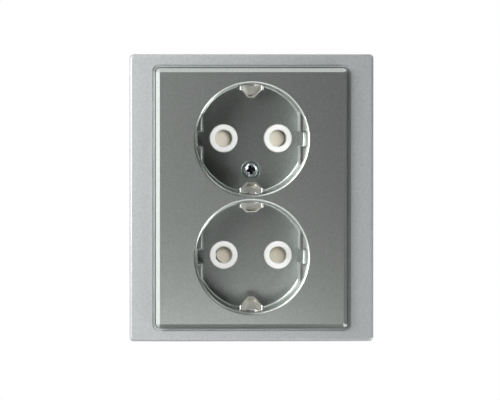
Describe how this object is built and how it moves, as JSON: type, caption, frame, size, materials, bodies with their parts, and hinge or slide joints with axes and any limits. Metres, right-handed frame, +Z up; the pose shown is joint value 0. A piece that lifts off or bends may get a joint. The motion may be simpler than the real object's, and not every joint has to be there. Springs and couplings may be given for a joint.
{
  "type": "double schuko socket outlet",
  "caption": "Flush-mounted double socket outlet: a silver frame round a cover plate with plug recesses, earth clips and shutters, on a steel plate with an insulating base.",
  "frame": {"origin": "middle of the mounting plate's back, on the wall's surface, midway between the box screws", "axes": "+Z up, +X to the right as seen from the room, +Y into the wall, so the front faces -Y"},
  "size_m": [0.085, 0.0417, 0.1],
  "materials": {
    "silver_frame": "fine silver lacquer",
    "silver_cover": "fine silver lacquer, satin",
    "white_plastic": "smooth moulded",
    "ivory_plastic": "smooth moulded",
    "base_plastic": "moulded, fine grain",
    "deck_plastic": "moulded",
    "nickel": "nickel plated",
    "zinc": "bright zinc plated",
    "galvanised_steel": "galvanised sheet",
    "brass": "bare strip",
    "spring_steel": "hardened strip",
    "key_plastic": "smooth moulded"
  },
  "bodies": {
    "socket": {"frame": "silver_frame", "cover_plate": "silver_cover", "cover_screw": "zinc", "screw_bush": "brass", "mounting_plate": "galvanised_steel", "plate_screws": "zinc", "base_body": "base_plastic", "contact_cover": "deck_plastic", "earth_plate": "nickel", "live_contact_bar": "brass", "neutral_contact_bar": "brass", "shutter_housing_upper": "white_plastic", "shutter_housing_lower": "white_plastic", "shutter_spring_upper": "spring_steel", "shutter_spring_lower": "spring_steel", "clamp_springs_live": "spring_steel", "clamp_springs_neutral": "spring_steel", "clamp_springs_earth": "spring_steel"},
    "shutter_upper": {"shutter_upper": "ivory_plastic"},
    "shutter_lower": {"shutter_lower": "ivory_plastic"},
    "release_key_live": {"release_key_live": "key_plastic"},
    "release_key_neutral": {"release_key_neutral": "key_plastic"},
    "release_key_earth": {"release_key_earth": "key_plastic"}
  },
  "joints": [
    {"name": "shutter_upper_slide", "type": "slide", "parent": "socket", "child": "shutter_upper", "axis": [-1, 0, 0], "range_m": [0, 0.006], "stiffness_N_per_m": 80, "springref_m": -0.003, "deforming": ["shutter_spring_upper"]},
    {"name": "shutter_lower_slide", "type": "slide", "parent": "socket", "child": "shutter_lower", "axis": [1, 0, 0], "range_m": [0, 0.006], "stiffness_N_per_m": 80, "springref_m": -0.003, "deforming": ["shutter_spring_lower"]},
    {"name": "release_key_live_slide", "type": "slide", "parent": "socket", "child": "release_key_live", "axis": [0, -1, 0], "range_m": [0, 0.0018], "stiffness_N_per_m": 900, "springref_m": -0.001, "deforming": ["clamp_springs_live"]},
    {"name": "release_key_neutral_slide", "type": "slide", "parent": "socket", "child": "release_key_neutral", "axis": [0, -1, 0], "range_m": [0, 0.0018], "stiffness_N_per_m": 900, "springref_m": -0.001, "deforming": ["clamp_springs_neutral"]},
    {"name": "release_key_earth_slide", "type": "slide", "parent": "socket", "child": "release_key_earth", "axis": [0, -1, 0], "range_m": [0, 0.0018], "stiffness_N_per_m": 900, "springref_m": -0.001, "deforming": ["clamp_springs_earth"]}
  ]
}
